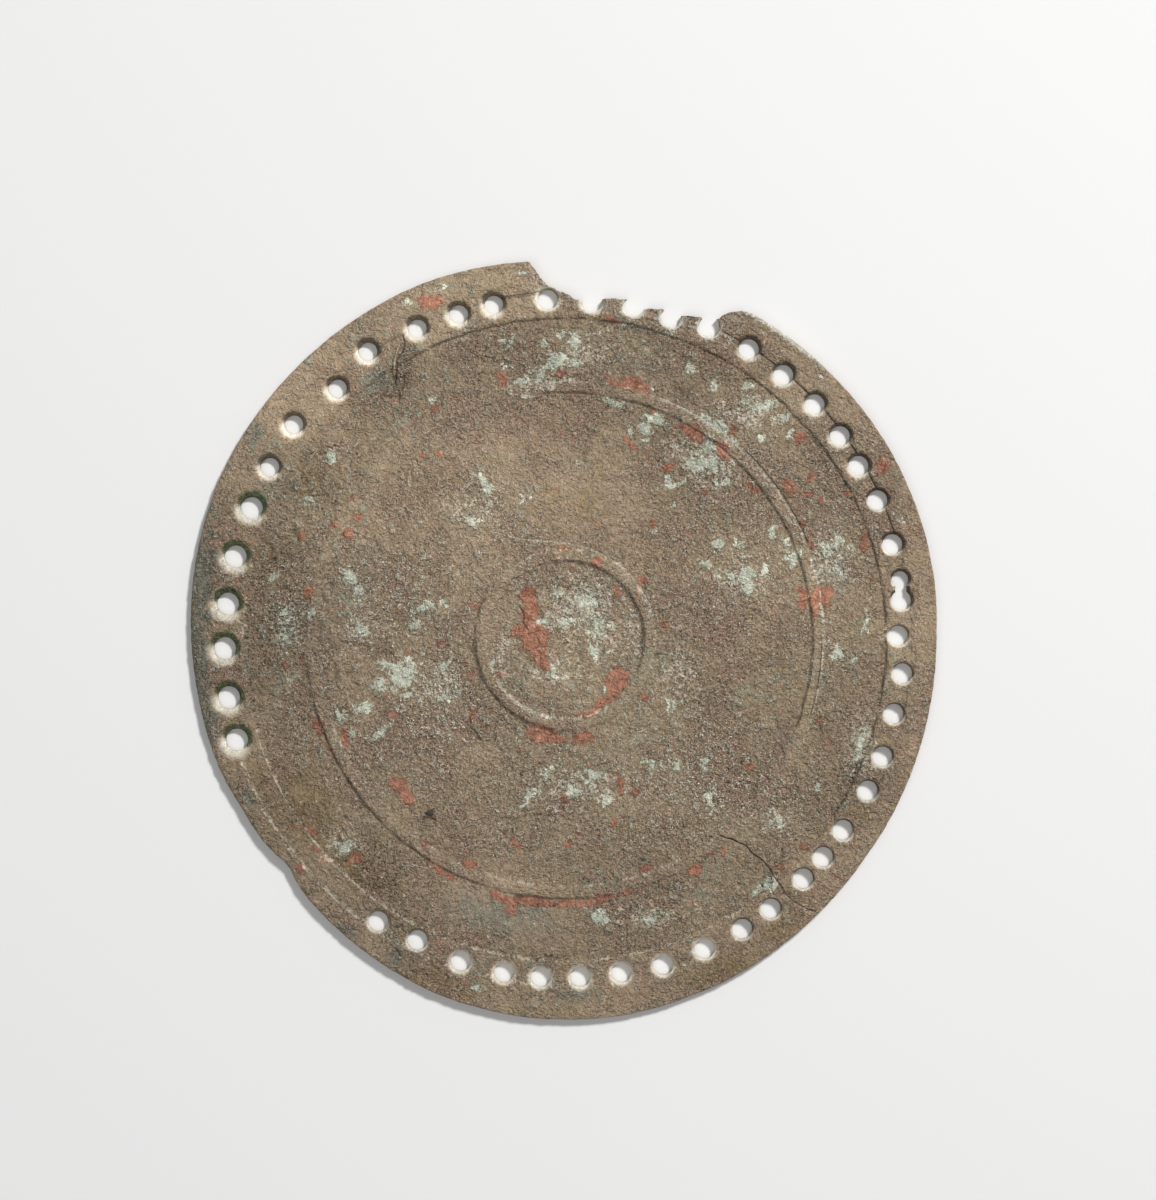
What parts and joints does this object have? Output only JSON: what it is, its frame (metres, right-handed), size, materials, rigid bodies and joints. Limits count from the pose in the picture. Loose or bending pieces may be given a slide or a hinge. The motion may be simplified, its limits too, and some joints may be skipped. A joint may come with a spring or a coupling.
{
  "type": "bronze mirror",
  "caption": "Ancient round bronze disc mirror with a drilled rim, lying with its turned, ringed back up; chipped, cracked and patinated.",
  "frame": {"origin": "on the surface the mirror lies on, under the middle of its footprint", "axes": "+Z out of the turned back, +Y towards the broken part of the rim, +X to the right of it"},
  "size_m": [0.112, 0.1138, 0.002],
  "materials": {
    "mirror_disc": "cast and turned bronze with a dry brown patina, red copper oxide patches and pale green corrosion"
  },
  "bodies": {
    "root": {"mirror_disc": "mirror_disc"}
  },
  "joints": []
}
